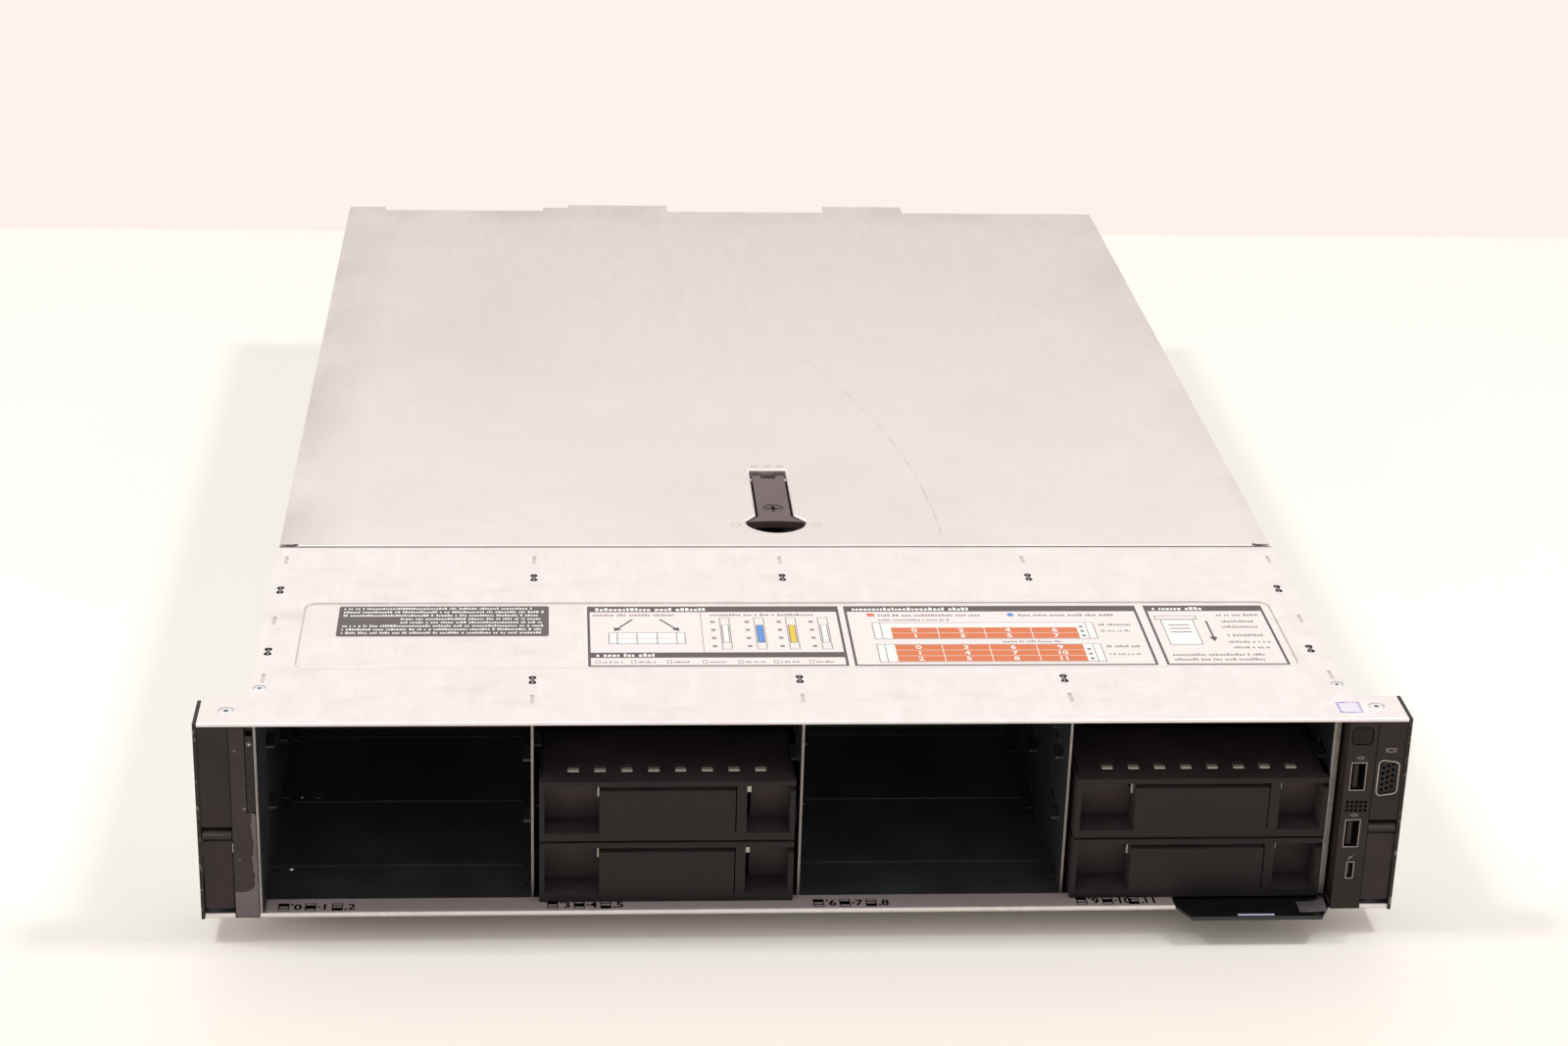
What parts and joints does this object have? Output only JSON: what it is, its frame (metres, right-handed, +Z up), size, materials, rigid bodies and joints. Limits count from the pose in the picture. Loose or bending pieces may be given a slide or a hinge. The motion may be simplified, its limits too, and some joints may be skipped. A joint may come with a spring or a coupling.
{
  "type": "rack server",
  "caption": "Flat rack server with open drive bays and blanks, ear controls, rack latches, a latched sliding cover, fans, a pull-out tag and slide-out power supplies.",
  "frame": {"origin": "mid width, on the rack plane at the back of the ears, on the underside of the chassis", "axes": "+X to the right seen from the front, +Y from the front to the rear, +Z up"},
  "size_m": [0.482, 0.728, 0.0868],
  "materials": {
    "galvanised_steel": "satin",
    "stainless_steel": "satin",
    "socket_metal": "polished",
    "black_plastic": "fine grain",
    "black_gloss": "gloss",
    "grey_plastic": "fine grain",
    "board": "solder mask",
    "fin_aluminium": "bare",
    "touch_plastic": "satin"
  },
  "bodies": {
    "chassis": {"chassis_tray": "galvanised_steel", "rear_panel": "galvanised_steel", "front_top_panel": "galvanised_steel", "bay_side_left": "galvanised_steel", "bay_side_right": "galvanised_steel", "bay_divider_1": "galvanised_steel", "bay_divider_2": "galvanised_steel", "bay_divider_3": "galvanised_steel", "backplane": "board", "drive_connectors": "black_plastic", "tag_guides": "galvanised_steel", "left_ear_cover": "black_plastic", "right_ear_cover": "black_plastic", "front_sockets": "socket_metal", "socket_inserts": "black_plastic", "rack_latch_pins": "stainless_steel", "rack_latch_springs": "stainless_steel", "rail_studs": "stainless_steel", "fan_cage": "galvanised_steel", "fan_frames": "black_plastic", "system_board": "board", "memory_modules": "board", "heat_sinks": "fin_aluminium", "air_shroud": "black_plastic", "slot_covers": "galvanised_steel", "riser_cages": "galvanised_steel", "rear_ports": "socket_metal", "psu_cage": "galvanised_steel"},
    "cover": {"top_cover": "galvanised_steel", "latch_pan": "galvanised_steel", "latch_pin": "stainless_steel"},
    "lever": {"latch_lever": "grey_plastic"},
    "lock": {"latch_lock": "grey_plastic"},
    "tag": {"information_tag": "black_gloss"},
    "id_key": {"id_button": "black_gloss"},
    "power_key": {"power_button": "black_gloss"},
    "latch_left": {"left_rack_latch": "black_plastic"},
    "latch_right": {"right_rack_latch": "black_plastic"},
    "blank_1": {"drive_blank_1": "black_plastic", "blank_spring_1": "stainless_steel"},
    "blank_2": {"drive_blank_2": "black_plastic", "blank_spring_2": "stainless_steel"},
    "blank_3": {"drive_blank_3": "black_plastic", "blank_spring_3": "stainless_steel"},
    "blank_4": {"drive_blank_4": "black_plastic", "blank_spring_4": "stainless_steel"},
    "supply_1": {"psu_case_1": "galvanised_steel", "psu_inlet_1": "black_plastic", "psu_handle_1": "black_plastic"},
    "release_1": {"psu_latch_1": "touch_plastic"},
    "supply_2": {"psu_case_2": "galvanised_steel", "psu_inlet_2": "black_plastic", "psu_handle_2": "black_plastic"},
    "release_2": {"psu_latch_2": "touch_plastic"},
    "rotor_1": {"fan_rotor_1": "black_plastic"},
    "rotor_2": {"fan_rotor_2": "black_plastic"},
    "rotor_3": {"fan_rotor_3": "black_plastic"},
    "rotor_4": {"fan_rotor_4": "black_plastic"},
    "rotor_5": {"fan_rotor_5": "black_plastic"},
    "rotor_6": {"fan_rotor_6": "black_plastic"}
  },
  "joints": [
    {"name": "cover_slide", "type": "slide", "parent": "chassis", "child": "cover", "axis": [0, 1, 0], "range_m": [0, 0.014]},
    {"name": "lever_lift", "type": "hinge", "parent": "cover", "child": "lever", "pos_m": [0, 0.2395, 0.0833], "axis": [-1, 0, 0], "range_deg": [0, 75]},
    {"name": "lock_turn", "type": "hinge", "parent": "lever", "child": "lock", "pos_m": [0, 0.2, 0.0859], "axis": [0, 0, -1], "range_deg": [0, 90]},
    {"name": "left_latch_lift", "type": "hinge", "parent": "chassis", "child": "latch_left", "pos_m": [-0.2335, -0.0181, 0.0365], "axis": [-1, 0, 0], "range_deg": [0, 50], "stiffness_Nm_per_rad": 0.04, "springref_deg": -11.46},
    {"name": "right_latch_lift", "type": "hinge", "parent": "chassis", "child": "latch_right", "pos_m": [0.2337, -0.0181, 0.0365], "axis": [-1, 0, 0], "range_deg": [0, 50], "stiffness_Nm_per_rad": 0.04, "springref_deg": -11.46},
    {"name": "power_press", "type": "slide", "parent": "chassis", "child": "power_key", "axis": [0, 1, 0], "range_m": [0, 0.0012], "stiffness_N_per_m": 1200},
    {"name": "id_press", "type": "slide", "parent": "chassis", "child": "id_key", "axis": [0, 1, 0], "range_m": [0, 0.0008], "stiffness_N_per_m": 1500},
    {"name": "blank_1_slide", "type": "slide", "parent": "chassis", "child": "blank_1", "axis": [0, -1, 0], "range_m": [0, 0.06]},
    {"name": "blank_2_slide", "type": "slide", "parent": "chassis", "child": "blank_2", "axis": [0, -1, 0], "range_m": [0, 0.06]},
    {"name": "blank_3_slide", "type": "slide", "parent": "chassis", "child": "blank_3", "axis": [0, -1, 0], "range_m": [0, 0.06]},
    {"name": "blank_4_slide", "type": "slide", "parent": "chassis", "child": "blank_4", "axis": [0, -1, 0], "range_m": [0, 0.06]},
    {"name": "tag_slide", "type": "slide", "parent": "chassis", "child": "tag", "axis": [0, -1, 0], "range_m": [0, 0.08]},
    {"name": "supply_1_slide", "type": "slide", "parent": "chassis", "child": "supply_1", "axis": [0, 1, 0], "range_m": [0, 0.19]},
    {"name": "release_1_swing", "type": "hinge", "parent": "supply_1", "child": "release_1", "pos_m": [-0.1354, 0.648, 0.0214], "axis": [0, 0, 1], "range_deg": [0, 8], "stiffness_Nm_per_rad": 0.3},
    {"name": "supply_2_slide", "type": "slide", "parent": "chassis", "child": "supply_2", "axis": [0, 1, 0], "range_m": [0, 0.19]},
    {"name": "release_2_swing", "type": "hinge", "parent": "supply_2", "child": "release_2", "pos_m": [-0.0494, 0.648, 0.0214], "axis": [0, 0, 1], "range_deg": [0, 8], "stiffness_Nm_per_rad": 0.3},
    {"name": "fan_1_spin", "type": "hinge", "parent": "chassis", "child": "rotor_1", "pos_m": [-0.165, 0.19, 0.0322], "axis": [0, 1, 0], "continuous": true},
    {"name": "fan_2_spin", "type": "hinge", "parent": "chassis", "child": "rotor_2", "pos_m": [-0.099, 0.19, 0.0322], "axis": [0, 1, 0], "continuous": true},
    {"name": "fan_3_spin", "type": "hinge", "parent": "chassis", "child": "rotor_3", "pos_m": [-0.033, 0.19, 0.0322], "axis": [0, 1, 0], "continuous": true},
    {"name": "fan_4_spin", "type": "hinge", "parent": "chassis", "child": "rotor_4", "pos_m": [0.033, 0.19, 0.0322], "axis": [0, 1, 0], "continuous": true},
    {"name": "fan_5_spin", "type": "hinge", "parent": "chassis", "child": "rotor_5", "pos_m": [0.099, 0.19, 0.0322], "axis": [0, 1, 0], "continuous": true},
    {"name": "fan_6_spin", "type": "hinge", "parent": "chassis", "child": "rotor_6", "pos_m": [0.165, 0.19, 0.0322], "axis": [0, 1, 0], "continuous": true}
  ],
  "couplings": [
    {"joint": "lever_lift", "follows": "cover_slide", "rad_per_m": 93.5}
  ]
}
